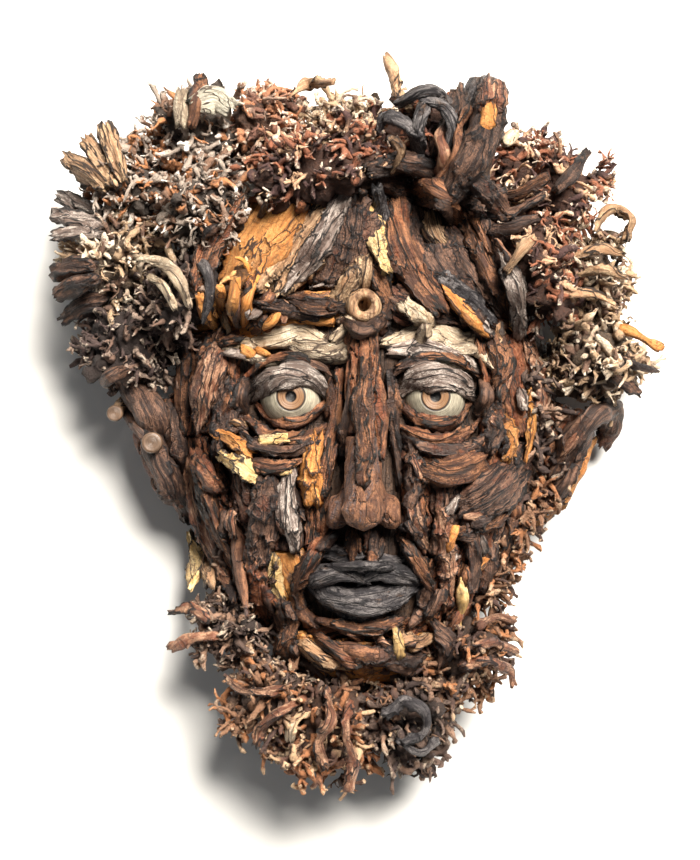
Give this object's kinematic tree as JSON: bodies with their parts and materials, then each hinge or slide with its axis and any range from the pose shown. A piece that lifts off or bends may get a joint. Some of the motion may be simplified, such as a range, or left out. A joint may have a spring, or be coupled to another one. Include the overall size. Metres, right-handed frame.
{
  "type": "wood face sculpture",
  "caption": "Face sculpture of found wood: bark slabs, driftwood brows and dark lips on a carved ground, ringed by hair and beard of knobbly root burls, lying on its flat back.",
  "frame": {"origin": "centre of the carved ground's flat back, in the plane that the part lies on", "axes": "+Z out of the face, +Y from chin to crown, +X to the right as the face is looked at"},
  "size_m": [0.5199, 0.6207, 0.1797],
  "materials": {
    "ground_wood": "matte",
    "brown_bark": "matte",
    "dark_bark": "matte",
    "tan_bark": "matte",
    "grey_bark": "matte",
    "orange_wood": "satin",
    "driftwood": "matte",
    "eye_wood": "satin",
    "nose_wood": "satin",
    "black_wood": "satin",
    "dark_root": "matte",
    "red_root": "matte",
    "tan_root": "matte",
    "pale_root": "matte"
  },
  "bodies": {
    "root": {"above_lip": "black_wood", "beard_chin": "red_root", "beard_left_high": "pale_root", "beard_left_low": "tan_root", "beard_right_high": "tan_root", "beard_right_low": "dark_root", "below_lip": "brown_bark", "beside_mouth_left": "orange_wood", "beside_mouth_right": "brown_bark", "brow_left": "driftwood", "brow_right": "driftwood", "carved_ground": "ground_wood", "cheek_beside_nose_left": "brown_bark", "cheek_beside_nose_right": "brown_bark", "cheek_block_left": "dark_bark", "cheek_block_right": "dark_bark", "cheek_jaw_left": "brown_bark", "cheek_jaw_right": "dark_bark", "cheek_sliver_left": "dark_bark", "cheek_sliver_right": "brown_bark", "chin_block": "orange_wood", "ear_left": "red_root", "ear_right": "red_root", "eye_left": "eye_wood", "eye_right": "eye_wood", "hair_crown_left": "pale_root", "hair_crown_middle": "tan_root", "hair_crown_middle_left": "red_root", "hair_crown_right": "dark_root", "hair_fringe_left": "pale_root", "hair_fringe_middle": "red_root", "hair_left_high": "pale_root", "hair_left_low": "dark_root", "hair_left_middle": "tan_root", "hair_right_high": "red_root", "hair_right_low": "tan_root", "hair_right_middle": "tan_root", "hair_stump": "black_wood", "hair_temple_left": "dark_root", "hair_temple_right": "tan_root", "lid_lower_left": "brown_bark", "lid_lower_right": "brown_bark", "lid_upper_left": "driftwood", "lid_upper_right": "driftwood", "lip_lower": "black_wood", "lip_upper": "black_wood", "nose": "nose_wood", "nose_bridge": "brown_bark", "pierced_knot": "tan_bark", "root_temple_orange": "orange_wood", "slab_above_brow_left": "orange_wood", "slab_above_brow_right": "dark_bark", "slab_forehead_brown": "brown_bark", "slab_forehead_dark": "dark_bark", "slab_forehead_orange": "orange_wood", "slab_forehead_peak": "grey_bark", "slab_forehead_tan": "tan_bark", "slab_temple_left": "brown_bark", "slab_temple_right": "brown_bark", "strip_forehead_streak": "orange_wood"}
  },
  "joints": []
}
